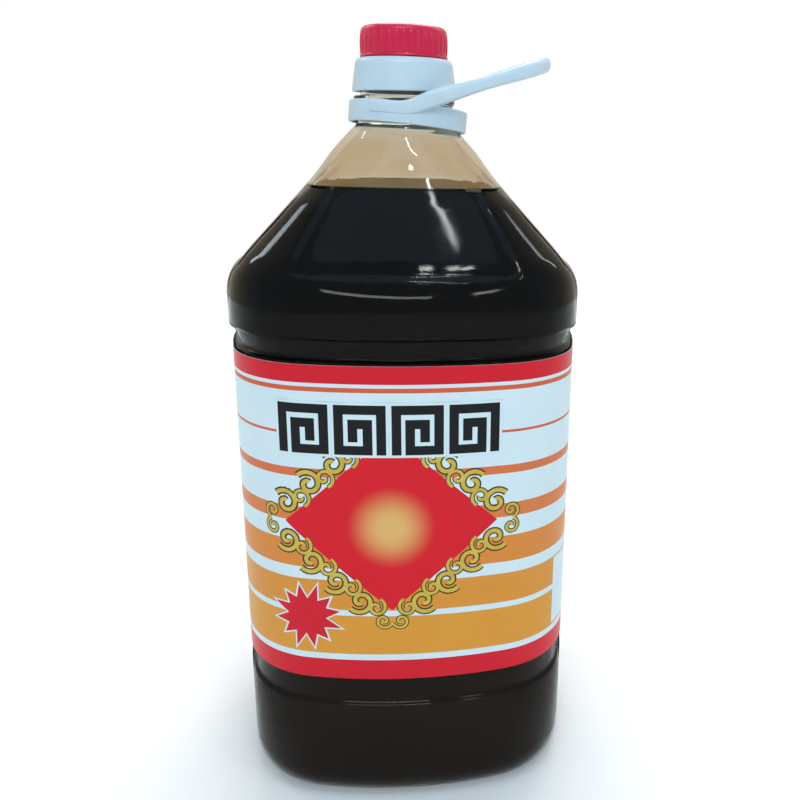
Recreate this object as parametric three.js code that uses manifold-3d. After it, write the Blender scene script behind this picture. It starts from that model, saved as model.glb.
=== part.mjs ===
// A five litre clear plastic jug of dark sauce with a wrap label, a two-piece cap and a carry ring.
// Millimetres, +Z up, the front of the label faces -Y, the origin is under the middle of the base.
import * as THREE from "three";
import Module from "manifold-3d";
import { mergeVertices } from "three/addons/utils/BufferGeometryUtils.js";

// Body: half widths across the flats, and the radii of faces and corners as shares of them.
const WALL = 0.9;
const GAP = 0.3;
const FACE_BOW = 2.38;
const CORNER = 0.526;
const PANEL_BOW = 5.0;
const PANEL_CORNER = 0.43;
const PANEL_INSET = 0.958;
const FOOT_HALF = 66.3;
const BASE_HALF = 76.2;
const BASE_ROUND = 13.5;
const LOWER_GROOVE = { from: 47.0, to: 60.6, depth: 1.3 };
const LABEL_HALF = 75.8;
const LABEL_Z = [61.4, 199.6];
const LABEL_THICK = 0.3;
const WAIST_GROOVE = { from: 200.4, to: 215.4, depth: 1.6 };
const UPPER_HALF = 77.2;

// Shoulder: an arc leads from the upright body into a straight slope up to the neck.
const SHOULDER_Z = 220.3;
const SHOULDER_R = 28.0;
const SLOPE = 44.0;
const PANEL_Z = [223, 239];
const ROUNDING_Z = [259, 287];
const LEVEL_Z = 264.9;

// Neck and cap.
const NECK_R = 21.0;
const NECK_Z = 290.0;
const ROOT_R = 23.0;
const FLANGE_R = 21.8;
const FLANGE_Z = [298.6, 301.4];
const FINISH_R = 18.9;
const FINISH_WALL = 1.8;
const MOUTH_Z = 315.5;
const COLLAR_Z = [303.1, 316.7];
const COLLAR_R = [22.4, 21.1];
const COLLAR_TOP_R = 18.9;
const COLLAR_BORE = 20.0;
const COLLAR_HOLE = 15.4;
const COLLAR_DECK = 0.9;
const COLLAR_ROUND = 3.2;
const LID_Z = [317.0, 329.5];
const LID_R = 18.8;
const LID_WALL = 1.8;
const LID_ROUND = 2.4;
const LID_RIBS = 36;
const LID_RIB_DEPTH = 0.35;

// Carry ring and its loop, one moulding: the ring leans down to +X and the loop rises that way.
const RING_MID = [1.5, 0, 293.0];
const RING_R = [24.1, 25.7];
const RING_HALF_H = 4.4;
const RING_EDGE = 0.6;
const RING_DROP = 4.9;
const RING_NOD = -3.0;
const LOOP_Z = 297.8;
const LOOP_RISE = 16.8;
const LOOP_NOD = 2.5;
const LOOP_HALF_W = 25.6;
const LOOP_ROOT_X = -14.0;
const LOOP_BEND_X = 37.0;
const LOOP_REACH = 24.5;
const STRAP = [2.1, 2.6];

const FACE_STEPS = 4;
const CORNER_STEPS = 7;
const RAD = Math.PI / 180;

function ramp(z, z0, z1) {
  const t = Math.min(1, Math.max(0, (z - z0) / (z1 - z0)));
  return t * t * (3 - 2 * t);
}

function mix(a, b, t) {
  return a + (b - a) * t;
}

// Four gently bowed faces joined by four corner arcs.
function section(half, bow, corner, z) {
  const rf = half * bow;
  const rc = half * corner;
  const a = rf - half;
  const d = (-a + Math.sqrt(2 * (rf - rc) ** 2 - a * a)) / 2;
  const turn = Math.atan2(d, d + a);
  const arcs = [
    { steps: FACE_STEPS, from: -turn, to: turn, x: -a, y: 0, r: rf },
    { steps: CORNER_STEPS, from: turn, to: Math.PI / 2 - turn, x: d, y: d, r: rc },
  ];
  const up = new THREE.Vector3(0, 0, 1);
  const points = [];
  for (let side = 0; side < 4; side += 1) {
    for (const { steps, from, to, x, y, r } of arcs) {
      for (let i = 0; i < steps; i += 1) {
        const t = mix(from, to, i / steps);
        const p = new THREE.Vector3(x + r * Math.cos(t), y + r * Math.sin(t), z);
        points.push(p.applyAxisAngle(up, (side * Math.PI) / 2));
      }
    }
  }
  return points;
}

// The section by height: bowed body, flat shoulder panels, round neck.
function bodySection(half, z, shapeZ = z) {
  const panel = ramp(shapeZ, ...PANEL_Z);
  const round = ramp(shapeZ, ...ROUNDING_Z);
  const bow = mix(mix(FACE_BOW, PANEL_BOW, panel), 1.004, round ** 0.35);
  const corner = mix(mix(CORNER, PANEL_CORNER, panel), 0.996, round);
  const inset = mix(mix(1, PANEL_INSET, panel), 1, round);
  return section(half * inset, bow, corner, z);
}

// A skin through rings of equal count; shut by end points, or joined last ring to first.
// Rings that run downwards round a solid are turned over.
function loft(rings, start, end, downwards = false) {
  const n = rings[0].length;
  const verts = rings.flat();
  const index = [];
  const bands = start ? rings.length - 1 : rings.length;
  for (let k = 0; k < bands; k += 1) {
    const next = (k + 1) % rings.length;
    for (let i = 0; i < n; i += 1) {
      const j = (i + 1) % n;
      index.push(k * n + i, k * n + j, next * n + j);
      index.push(k * n + i, next * n + j, next * n + i);
    }
  }
  if (start) {
    const s = verts.push(start) - 1;
    const e = verts.push(end) - 1;
    const last = (rings.length - 1) * n;
    for (let i = 0; i < n; i += 1) {
      const j = (i + 1) % n;
      index.push(s, j, i);
      index.push(e, last + i, last + j);
    }
  }
  if (downwards) {
    index.reverse();
  }
  const geometry = new THREE.BufferGeometry().setFromPoints(verts);
  geometry.setIndex(index);
  geometry.computeVertexNormals();
  return geometry;
}

function onAxis(z) {
  return new THREE.Vector3(0, 0, z);
}

// A rounded groove between two half widths, as rows of half width and height.
function grooveRows({ from, to, depth }, below, above) {
  const rows = [];
  for (let i = 0; i <= 4; i += 1) {
    const t = i / 4;
    const half = mix(below, above, ramp(t, 0, 1)) - depth * Math.sin(Math.PI * t) ** 2;
    rows.push([half, mix(from, to, t)]);
  }
  return rows;
}

// The body's outer half width against height, from the foot to the root of the neck.
function bodyRows() {
  const rows = [];
  for (let i = 0; i <= 6; i += 1) {
    const t = (i / 6) * (Math.PI / 2);
    rows.push([mix(FOOT_HALF, BASE_HALF, Math.sin(t)), BASE_ROUND * (1 - Math.cos(t))]);
  }
  rows.push(...grooveRows(LOWER_GROOVE, BASE_HALF, LABEL_HALF));
  rows.push(...grooveRows(WAIST_GROOVE, LABEL_HALF, UPPER_HALF));
  for (let i = 0; i <= 5; i += 1) {
    const t = (i / 5) * SLOPE * RAD;
    const half = UPPER_HALF - SHOULDER_R * (1 - Math.cos(t));
    rows.push([half, SHOULDER_Z + SHOULDER_R * Math.sin(t)]);
  }
  const [half, z] = rows[rows.length - 1];
  const level = LEVEL_Z + (WALL + 1.5 * GAP) * Math.sin(SLOPE * RAD);
  const root = z + (half - ROOT_R) / Math.tan(SLOPE * RAD);
  for (const at of [level, mix(level, root, 0.5), mix(level, root, 0.8), root]) {
    rows.push([half - (at - z) * Math.tan(SLOPE * RAD), at]);
  }
  return rows;
}

const BODY = bodyRows();

// The same rows moved inwards, square to the profile.
function insetRows(depth) {
  return BODY.map(([half, z], i) => {
    const before = BODY[Math.max(0, i - 1)];
    const after = BODY[Math.min(BODY.length - 1, i + 1)];
    const along = new THREE.Vector2(after[0] - before[0], after[1] - before[1]).normalize();
    if (i === 0) {
      along.set(1, 0);
    }
    return { half: half - depth * along.y, z: z + depth * along.x, shapeZ: z };
  });
}

function rowSection({ half, z, shapeZ }) {
  return bodySection(half, z, shapeZ);
}

function bottleGeometry() {
  const neck = [
    [NECK_R, NECK_Z],
    [NECK_R, FLANGE_Z[0] - 0.5],
    [FLANGE_R, FLANGE_Z[0]],
    [FLANGE_R, FLANGE_Z[1]],
    [FINISH_R, FLANGE_Z[1] + 0.5],
    [FINISH_R, MOUTH_Z],
    [FINISH_R - FINISH_WALL, MOUTH_Z],
    [FINISH_R - FINISH_WALL, FLANGE_Z[0]],
    [NECK_R - 1.2, FLANGE_Z[0] - 3],
    [NECK_R - 1.2, NECK_Z],
  ];
  const outside = BODY.concat(neck).map(([half, z]) => bodySection(half, z));
  const inside = insetRows(WALL).reverse().map(rowSection);
  return loft(outside.concat(inside), onAxis(0), onAxis(WALL));
}

// The sauce fills the jug to its level, just clear of the wall.
function sauceGeometry() {
  const rows = insetRows(WALL + 1.5 * GAP).filter(({ z }) => z < LEVEL_Z + GAP);
  const rings = rows.reverse().map(rowSection);
  return loft(rings, onAxis(rows[0].z), onAxis(rows[rows.length - 1].z), true);
}

function labelGeometry() {
  const near = LABEL_HALF + GAP + 0.02;
  const far = near + LABEL_THICK;
  const [z0, z1] = LABEL_Z;
  return loft([
    bodySection(far, z0),
    bodySection(far, z1),
    bodySection(near, z1),
    bodySection(near, z0),
  ]);
}

function turned(profile, steps) {
  const points = profile.map(([r, z]) => new THREE.Vector2(r, z));
  points.push(points[0].clone());
  const geometry = new THREE.LatheGeometry(points, steps);
  geometry.rotateX(Math.PI / 2);
  return mergeVertices(geometry.deleteAttribute("uv").deleteAttribute("normal"), 1e-4);
}

// White collar: a tapered skirt under a rounded top deck.
function collarGeometry() {
  const [z0, z1] = COLLAR_Z;
  const profile = [
    [COLLAR_BORE, z0],
    [COLLAR_R[0] - 0.4, z0],
    [COLLAR_R[0], z0 + 0.5],
  ];
  for (let i = 0; i <= 5; i += 1) {
    const t = (i / 5) * (Math.PI / 2);
    const r = mix(COLLAR_TOP_R, COLLAR_R[1], Math.cos(t));
    profile.push([r, z1 - COLLAR_ROUND * (1 - Math.sin(t))]);
  }
  profile.push([COLLAR_HOLE, z1], [COLLAR_HOLE, z1 - COLLAR_DECK], [COLLAR_BORE, z1 - COLLAR_DECK]);
  return turned(profile, 48);
}

// Red lid: a cup with grip ribs below its smooth rounded top edge.
function lidGeometry() {
  const steps = LID_RIBS * 3;
  const [z0, z1] = LID_Z;
  const ring = (r, z, ribbed = false) => {
    const points = [];
    for (let i = 0; i < steps; i += 1) {
      const t = (i / steps) * 2 * Math.PI;
      const cut = ribbed && i % 3 === 0 ? LID_RIB_DEPTH : 0;
      points.push(new THREE.Vector3((r - cut) * Math.cos(t), (r - cut) * Math.sin(t), z));
    }
    return points;
  };
  const roof = z1 - LID_WALL;
  const edge = z1 - LID_ROUND;
  const rings = [
    ring(LID_R - LID_WALL, roof),
    ring(LID_R - LID_WALL, z0),
    ring(LID_R, z0),
    ring(LID_R, z0 + 0.9),
    ring(LID_R, z0 + 1.1, true),
    ring(LID_R - 0.15, edge - 1, true),
    ring(LID_R - 0.5, edge),
  ];
  for (const t of [40, 65, 90]) {
    const r = LID_R - 0.5 - LID_ROUND * (1 - Math.cos(t * RAD));
    rings.push(ring(r, edge + LID_ROUND * Math.sin(t * RAD)));
  }
  return loft(rings, onAxis(roof), onAxis(z1));
}

// The loop's middle line: along the ring's band at its roots, then off it round a rising U.
function loopPath() {
  const band = (RING_R[0] + RING_R[1]) / 2;
  const plan = [];
  for (let i = 0; i <= 11; i += 1) {
    const x = mix(LOOP_ROOT_X, LOOP_BEND_X, i / 12);
    const y = x < 0 ? Math.sqrt(band ** 2 - x * x) : mix(band, LOOP_HALF_W, ramp(x, 0, 12));
    plan.push([x, -y]);
  }
  const back = plan.map(([x, y]) => [x, -y]).reverse();
  for (let i = 0; i <= 14; i += 1) {
    const t = mix(-90, 90, i / 14) * RAD;
    plan.push([LOOP_BEND_X + LOOP_REACH * Math.cos(t), LOOP_HALF_W * Math.sin(t)]);
  }
  return plan.concat(back).map(([x, y]) => {
    const onRing = 0.8 - Math.tan(RING_DROP * RAD) * x + Math.tan(RING_NOD * RAD) * y;
    const onLoop = Math.tan(LOOP_RISE * RAD) * x + Math.tan(LOOP_NOD * RAD) * y;
    const z = mix(RING_MID[2] + onRing, LOOP_Z + onLoop, ramp(x, -9, 13));
    return new THREE.Vector3(x, y, z);
  });
}

// The strap swept along that line, a rounded bar that is as thin as the band at its roots.
function loopGeometry() {
  const path = loopPath();
  const up = new THREE.Vector3(0, 0, 1);
  const squared = (v) => Math.sign(v) * Math.abs(v) ** 0.6;
  const rings = path.map((centre, i) => {
    const before = path[Math.max(0, i - 1)];
    const after = path[Math.min(path.length - 1, i + 1)];
    const along = after.clone().sub(before).normalize();
    const side = along.clone().cross(up).normalize();
    const over = side.clone().cross(along);
    const root = 1 - ramp(centre.x, -8, 14);
    const ring = [];
    for (let k = 0; k < 14; k += 1) {
      const t = (-k / 14) * 2 * Math.PI;
      const across = STRAP[0] * (1 - 0.6 * root) * squared(Math.cos(t));
      const high = (STRAP[1] + 0.5 * root) * squared(Math.sin(t));
      ring.push(centre.clone().addScaledVector(side, across).addScaledVector(over, high));
    }
    return ring;
  });
  return loft(rings, path[0], path[path.length - 1]);
}

function leanWithRing(geometry) {
  geometry.rotateX(RING_NOD * RAD);
  geometry.rotateY(RING_DROP * RAD);
  return geometry.translate(...RING_MID);
}

function ringGeometry() {
  const [r0, r1] = RING_R;
  const h = RING_HALF_H;
  const profile = [
    [r0, -h],
    [r1 - RING_EDGE, -h],
    [r1, RING_EDGE - h],
    [r1, h - RING_EDGE],
    [r1 - RING_EDGE, h],
    [r0, h],
  ];
  return leanWithRing(turned(profile, 56));
}

const wasm = await Module();
wasm.setup();

function toSolid(geometry) {
  geometry.deleteAttribute("normal");
  geometry.deleteAttribute("uv");
  const clean = mergeVertices(geometry, 1e-4);
  const mesh = new wasm.Mesh({
    numProp: 3,
    vertProperties: new Float32Array(clean.attributes.position.array),
    triVerts: new Uint32Array(clean.index.array),
  });
  return new wasm.Manifold(mesh);
}

function toGeometry(solid) {
  const mesh = solid.getMesh();
  const geometry = new THREE.BufferGeometry();
  geometry.setAttribute("position", new THREE.BufferAttribute(mesh.vertProperties, 3));
  geometry.setIndex(new THREE.BufferAttribute(mesh.triVerts, 1));
  geometry.computeVertexNormals();
  return geometry;
}

// Ring and loop joined, with the ring's bore kept clear of the strap.
function handleGeometry() {
  const bore = new THREE.CylinderGeometry(RING_R[0], RING_R[0], 10 * RING_HALF_H, 56);
  bore.rotateX(Math.PI / 2);
  const strap = toSolid(loopGeometry()).subtract(toSolid(leanWithRing(bore)));
  return toGeometry(toSolid(ringGeometry()).add(strap));
}

const CLEAR = { color: 0xe9eeee, roughness: 0.08, metalness: 0 };
const SAUCE = { color: 0x1c120c, roughness: 0.15, metalness: 0 };
const FILM = { color: 0xdfe6e8, roughness: 0.35, metalness: 0 };
const WHITE = { color: 0xdde3e8, roughness: 0.4, metalness: 0 };
const RED = { color: 0xc8203c, roughness: 0.35, metalness: 0 };

function piece(name, geometry, look) {
  const mesh = new THREE.Mesh(geometry, new THREE.MeshStandardMaterial(look));
  mesh.name = name;
  return mesh;
}

const group = new THREE.Group();
group.add(
  piece("bottle", bottleGeometry(), CLEAR),
  piece("soy_sauce", sauceGeometry(), SAUCE),
  piece("label", labelGeometry(), FILM),
  piece("cap_collar", collarGeometry(), WHITE),
  piece("cap_lid", lidGeometry(), RED),
  piece("handle", handleGeometry(), WHITE),
);

export default group;
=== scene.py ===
# %% [markdown]
# # A five litre jug of dark sauce
# A clear blow-moulded jug, filled with soy sauce up to its sloping shoulder, with a wrap label,
# a two-piece screw cap and a carry ring whose loop leans to one side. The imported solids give
# size and place. Each step below makes one real piece again with finer faces and its finish.

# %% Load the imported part
import math

import bmesh
import bpy
import numpy as np
from mathutils import Matrix, Vector


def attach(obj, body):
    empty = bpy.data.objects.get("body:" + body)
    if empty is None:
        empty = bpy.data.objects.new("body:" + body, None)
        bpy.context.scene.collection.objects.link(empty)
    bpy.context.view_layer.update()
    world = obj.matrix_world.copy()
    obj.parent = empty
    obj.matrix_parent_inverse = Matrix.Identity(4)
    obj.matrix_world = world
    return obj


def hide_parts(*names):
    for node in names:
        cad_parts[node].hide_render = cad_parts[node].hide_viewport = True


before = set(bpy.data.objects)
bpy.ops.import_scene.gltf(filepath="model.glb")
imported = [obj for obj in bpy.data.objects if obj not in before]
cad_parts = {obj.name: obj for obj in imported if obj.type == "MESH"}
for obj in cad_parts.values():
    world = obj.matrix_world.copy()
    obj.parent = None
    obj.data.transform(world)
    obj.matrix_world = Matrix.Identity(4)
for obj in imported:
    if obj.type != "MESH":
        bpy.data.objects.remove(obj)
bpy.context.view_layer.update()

MM = 0.001


# %% [markdown]
# ## Camera
# The photograph was taken from close by, a little above the level of the sauce, and looks down.
# Its frame was cut out of a larger one, so the picture's middle is not the lens's middle. A
# sideways lens shift gives that framing, where a turned camera would lean the upright edges.

# %% Camera
EYE = Vector((0.0, -413.6, 285.6)) * MM
YAW, PITCH, ROLL = 0.1150, 0.2855, 0.0240
FOCAL, SENSOR, SIDE_SHIFT = 40.26, 36.0, -0.1325


def stand(name, data):
    """Puts a camera, a lamp or a mesh into the scene."""
    item = bpy.data.objects.new(name, data)
    bpy.context.scene.collection.objects.link(item)
    return item


lens = bpy.data.cameras.new("photo_camera")
lens.sensor_fit = "HORIZONTAL"
lens.sensor_width = SENSOR
lens.lens = FOCAL
lens.shift_x = SIDE_SHIFT
lens.clip_start = 10 * MM
camera = stand("photo_camera", lens)
level = math.cos(PITCH)
gaze = Vector((math.sin(YAW) * level, math.cos(YAW) * level, -math.sin(PITCH)))
turn = gaze.to_track_quat("-Z", "Y").to_matrix().to_4x4()
camera.matrix_world = Matrix.Translation(EYE) @ turn @ Matrix.Rotation(ROLL, 4, "Z")
bpy.context.scene.camera = camera
print("camera, mm:", [round(v / MM) for v in EYE], "lens", FOCAL)

# %% [markdown]
# ## Small helpers for finishes
# Colours are read off as screen values, and shaders work in linear light, so one function
# converts them. Another adds a node with its settings and links, and every material uses it.

# %% Colour and node helpers
def linear(code):
    channels = [int(code[i:i + 2], 16) / 255 for i in (1, 3, 5)]
    return [c / 12.92 if c <= 0.04045 else ((c + 0.055) / 1.055) ** 2.4 for c in channels] + [1.0]


def add(tree, kind, links=None, **settings):
    node = tree.nodes.new(kind)
    for name, value in settings.items():
        setattr(node, name, value)
    for key, value in (links or {}).items():
        if isinstance(value, bpy.types.NodeSocket):
            tree.links.new(value, node.inputs[key])
        else:
            node.inputs[key].default_value = value
    return node


def open_finish(finish):
    """A material's node tree, its shader, and the place of each point of the piece."""
    finish.use_nodes = True
    tree = finish.node_tree
    where = add(tree, "ShaderNodeTexCoord").outputs["Object"]
    return tree, tree.nodes["Principled BSDF"], where


print("mid grey in linear light:", round(linear("#808080")[0], 3))

# %% [markdown]
# ## A finish for moulded and printed plastic
# Lid, collar, handle, label film and inks are all smooth plastic surfaces that differ in colour
# and gloss. On each, the colour drifts a little between two near shades, the gloss is not quite
# even, and a faint grain breaks up highlights. One function makes that finish from real sizes.

# %% Plastic finish
CLOUD_GRAINS = 8  # a cloud of colour is this many grains across
CLOUD_RANGE = (0.3, 0.7)
GLOSS_DRIFT = 0.05
GRAIN_STRENGTH = 0.4


def plastic(name, shade, tint, grain_mm, rough, relief_mm, **sockets):
    finish = bpy.data.materials.new(name)
    tree, shader, where = open_finish(finish)
    cloud = add(tree, "ShaderNodeTexNoise", {
        "Vector": where, "Scale": 1 / (grain_mm * CLOUD_GRAINS * MM), "Detail": 3.0})
    grain = add(tree, "ShaderNodeTexNoise", {
        "Vector": where, "Scale": 1 / (grain_mm * MM), "Detail": 2.0})
    colour = add(tree, "ShaderNodeMix", {
        0: cloud.outputs["Fac"], 6: linear(shade), 7: linear(tint)}, data_type="RGBA")
    gloss = add(tree, "ShaderNodeMapRange", {
        "Value": cloud.outputs["Fac"], 1: CLOUD_RANGE[0], 2: CLOUD_RANGE[1],
        3: rough - GLOSS_DRIFT, 4: rough + GLOSS_DRIFT})
    bump = add(tree, "ShaderNodeBump", {
        "Height": grain.outputs["Fac"], "Distance": relief_mm * MM, "Strength": GRAIN_STRENGTH})
    tree.links.new(colour.outputs[2], shader.inputs["Base Color"])
    tree.links.new(gloss.outputs["Result"], shader.inputs["Roughness"])
    tree.links.new(bump.outputs["Normal"], shader.inputs["Normal"])
    for socket, value in sockets.items():
        shader.inputs[socket.replace("_", " ")].default_value = value
    return finish


# Moulded polypropylene: even colour and a soft gloss that broadens every highlight.
WHITE_PP = plastic("bluish_white_polypropylene", "#B9CEDA", "#CBDCE4", 1.2, 0.34, 0.02, IOR=1.49)
RED_PP = plastic("red_polypropylene", "#CB0F3A", "#D81D48", 1.0, 0.24, 0.01, IOR=1.45)
print("finishes:", WHITE_PP.name, RED_PP.name)

# %% [markdown]
# ## The jug's form
# The jug is a rounded square in plan: four bowed faces joined by corner arcs. Going up, it has a
# round bottom edge, a groove below and above the label, a shoulder of four flat panels, and then
# it turns round towards the neck. A stack of such sections, skinned over, follows that exactly,
# where carving it from a box would lose the change from square to round.

# %% Plan section
FACE_BOW, CORNER = 2.38, 0.526  # radii of a face and of a corner, in half widths
FACE_STEPS, CORNER_STEPS = 44, 18


def ramp(value, low, high):
    t = min(1.0, max(0.0, (value - low) / (high - low)))
    return t * t * (3 - 2 * t)


def mix(a, b, t):
    return a + (b - a) * t


def section(half, bow=FACE_BOW, corner=CORNER, fine=1):
    face_r, corner_r = half * bow, half * corner
    a = face_r - half
    d = (-a + math.sqrt(2 * (face_r - corner_r) ** 2 - a * a)) / 2
    turn = math.atan2(d, d + a)
    face = np.linspace(-turn, turn, FACE_STEPS * fine, endpoint=False)
    bend = np.linspace(turn, math.pi / 2 - turn, CORNER_STEPS * fine, endpoint=False)
    x = np.concatenate([face_r * np.cos(face) - a, d + corner_r * np.cos(bend)])
    y = np.concatenate([face_r * np.sin(face), d + corner_r * np.sin(bend)])
    sides = [np.column_stack(p) for p in ((x, y), (-y, x), (-x, -y), (y, -x))]
    return np.vstack(sides)


print("points in a section:", len(section(70)))

# %% [markdown]
# ## Shoulder panels
# Each side of the shoulder is a flat panel, sunk a little below the corners round it. It could
# be cut in afterwards, but as a push on the sections' own points it keeps the rows of faces
# even. Higher up, the sections turn into circles.

# %% Sections with panels
PANEL_BOW, PANEL_CORNER, PANEL_INSET = 5.0, 0.43, 0.958
ROUND_BOW, ROUND_CORNER, ROUND_HASTE = 1.004, 0.996, 0.35
PANEL_Z, ROUNDING_Z = (223, 239), (259, 287)
RECESS, RECESS_EDGE, RECESS_ROUND = 1.1, 4.0, 10.0
RECESS_Z, RECESS_HALF, RECESS_FADE = (231.5, 262.0), (50.0, 33.0), (268, 280)
SLANT = 1.39  # way along the shoulder for each mm of height


def panel_depth(aside, z):
    """How far a shoulder panel lies below its corners: a trapezium with round corners."""
    half = mix(*RECESS_HALF, (z - RECESS_Z[0]) / (RECESS_Z[1] - RECESS_Z[0]))
    side, foot = half - aside, (z - RECESS_Z[0]) * SLANT
    short_side, short_foot = np.maximum(RECESS_ROUND - side, 0), max(RECESS_ROUND - foot, 0)
    inside = np.where((short_side > 0) & (short_foot > 0),
                      RECESS_ROUND - np.hypot(short_side, short_foot), np.minimum(side, foot))
    t = np.clip(inside / RECESS_EDGE, 0, 1)
    return RECESS * t * t * (3 - 2 * t) * (1 - ramp(z, *RECESS_FADE))


def jug_ring(half, z, shape_z=None):
    """A section at height z, with the form that the jug has at shape_z."""
    at = z if shape_z is None else shape_z
    panel, rounding = ramp(at, *PANEL_Z), ramp(at, *ROUNDING_Z)
    bow = mix(mix(FACE_BOW, PANEL_BOW, panel), ROUND_BOW, rounding ** ROUND_HASTE)
    corner = mix(mix(CORNER, PANEL_CORNER, panel), ROUND_CORNER, rounding)
    inset = mix(mix(1, PANEL_INSET, panel), 1, rounding)
    plan = section(half * inset, bow, corner)
    if at > RECESS_Z[0]:
        out, aside = np.abs(plan).max(axis=1), np.abs(plan).min(axis=1)
        plan = np.where(np.abs(plan) == out[:, None],
                        plan * ((out - panel_depth(aside, at)) / out)[:, None], plan)
    return np.column_stack([plan, np.full(len(plan), z)])


print("panel depth in its middle, mm:", round(float(panel_depth(np.zeros(1), 250.0)[0]), 2))

# %% [markdown]
# ## The jug's side profile
# Half width against height, from the foot to the root of the neck. The same rows, moved inwards
# square to the profile, give the inner wall and the skin of the sauce.

# %% Side profile
WALL = 0.9
FOOT_HALF, BASE_HALF, BASE_ROUND = 66.3, 76.2, 13.5
LABEL_HALF, UPPER_HALF = 75.8, 77.2
LOWER_GROOVE, WAIST_GROOVE = (47.6, 60.6, 1.5), (200.4, 210.0, 1.9)  # from, to, depth
GROOVE_FLANKS = (0.18, 0.82)  # shares of a groove's height where its floor begins and ends
SHOULDER_Z, SHOULDER_R, SLOPE = 220.3, 28.0, math.radians(44.0)
ROOT_R, LEVEL_Z = 23.0, 264.9
FOOT_ROWS, GROOVE_ROWS, SHOULDER_ROWS, SLOPE_ROWS = 15, 33, 31, 41


def groove(low, high, depth, below, above):
    rows = []
    for t in np.linspace(0, 1, GROOVE_ROWS):
        cut = depth * ramp(t, 0, GROOVE_FLANKS[0]) * (1 - ramp(t, GROOVE_FLANKS[1], 1))
        rows.append((mix(below, above, ramp(t, 0, 1)) - cut, mix(low, high, t)))
    return rows


profile = []
for t in np.linspace(0, math.pi / 2, FOOT_ROWS):
    profile.append((mix(FOOT_HALF, BASE_HALF, math.sin(t)), BASE_ROUND * (1 - math.cos(t))))
profile += groove(*LOWER_GROOVE, BASE_HALF, LABEL_HALF)
profile += groove(*WAIST_GROOVE, LABEL_HALF, UPPER_HALF)
for t in np.linspace(0, SLOPE, SHOULDER_ROWS):
    profile.append((UPPER_HALF - SHOULDER_R * (1 - math.cos(t)),
                    SHOULDER_Z + SHOULDER_R * math.sin(t)))
half_0, z_0 = profile[-1]
root_z = z_0 + (half_0 - ROOT_R) / math.tan(SLOPE)
for z in np.linspace(z_0, root_z, SLOPE_ROWS)[1:]:
    profile.append((half_0 - (z - z_0) * math.tan(SLOPE), z))
profile = np.array(profile)


def inset_rows(depth):
    """The profile moved inwards: half width, height, and the height whose form it keeps."""
    step = np.gradient(profile, axis=0)
    step[0] = (1, 0)
    step /= np.linalg.norm(step, axis=1)[:, None]
    return [(h - depth * s[1], z + depth * s[0], z) for (h, z), s in zip(profile, step)]


print("rows in the profile:", len(profile), "neck root at", round(root_z, 1), "mm")

# %% [markdown]
# ## A skin over rings
# Most pieces here are rings of points joined by quads, shut by a fan at each end, or joined last
# ring to first. Rings run anticlockwise and upwards on the outside, so that faces point outwards.

# %% Skin helper
def smooth(mesh, sharp=None):
    """Smooth shading, with edges kept that turn by more than sharp degrees."""
    mesh.polygons.foreach_set("use_smooth", [True] * len(mesh.polygons))
    if sharp:
        mesh.set_sharp_from_angle(angle=math.radians(sharp))


def skin(name, rings, finishes, shut=True, sharp=40):
    count = len(rings[0])
    points = np.vstack(rings)
    bands = len(rings) - 1 if shut else len(rings)
    faces = []
    for k in range(bands):
        low, high = k * count, (k + 1) % len(rings) * count
        for i in range(count):
            j = (i + 1) % count
            faces.append((low + i, low + j, high + j, high + i))
    if shut:
        first, last = len(points), len(points) + 1
        points = np.vstack([points, rings[0].mean(axis=0), rings[-1].mean(axis=0)])
        top = (len(rings) - 1) * count
        for i in range(count):
            j = (i + 1) % count
            faces.append((first, j, i))
            faces.append((last, top + i, top + j))
    mesh = bpy.data.meshes.new(name)
    mesh.from_pydata((points * MM).tolist(), [], faces)
    for finish in finishes:
        mesh.materials.append(finish)
    smooth(mesh, sharp)
    return stand(name, mesh)


def dress(piece, node):
    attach(piece, "root")
    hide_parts(node)
    print(piece.name, "faces:", len(piece.data.polygons))


# %% [markdown]
# ## Clear plastic
# The jug is blow-moulded PET: clear, glossy and not quite flat, so that reflections wander. In
# the headspace above the sauce a thin film of it clings to the wall and colours what is seen
# through it. The film is drawn in the wall's own colour by height, with runs a few mm wide, and
# its warm tint is partly painted light: the warm light from behind seen through the wall.
# Where sauce lies right behind the wall, the two mirror as one surface. The sauce carries that
# gloss, so the wall gets a second finish there that only lets light through.

# %% Clear PET
RUN_MM, RUN_STRETCH = 9, 0.15
WAVE_MM, WAVE_RELIEF, WAVE_STRENGTH = 35, 0.6, 0.06
FILM_AND_BACKLIGHT_FOOT, FILM_AND_BACKLIGHT_TOP = (LEVEL_Z - 1, LEVEL_Z + 3), (root_z + 2, root_z - 6)
PET_IOR, WET_PET_IOR = 1.30, 1.01

PET = bpy.data.materials.new("blow_moulded_clear_pet")
tree, shader, where = open_finish(PET)
height = add(tree, "ShaderNodeSeparateXYZ", {0: where}).outputs["Z"]
runs_at = add(tree, "ShaderNodeMapping", {"Vector": where, "Scale": (1.0, 1.0, RUN_STRETCH)})
runs = add(tree, "ShaderNodeTexNoise", {
    "Vector": runs_at.outputs[0], "Scale": 1 / (RUN_MM * MM), "Detail": 3.0})
above, below = (add(tree, "ShaderNodeMapRange", {"Value": height, 1: ends[0] * MM, 2: ends[1] * MM})
                for ends in (FILM_AND_BACKLIGHT_FOOT, FILM_AND_BACKLIGHT_TOP))
zone = add(tree, "ShaderNodeMath", {0: above.outputs[0], 1: below.outputs[0]},
           operation="MULTIPLY")
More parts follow.
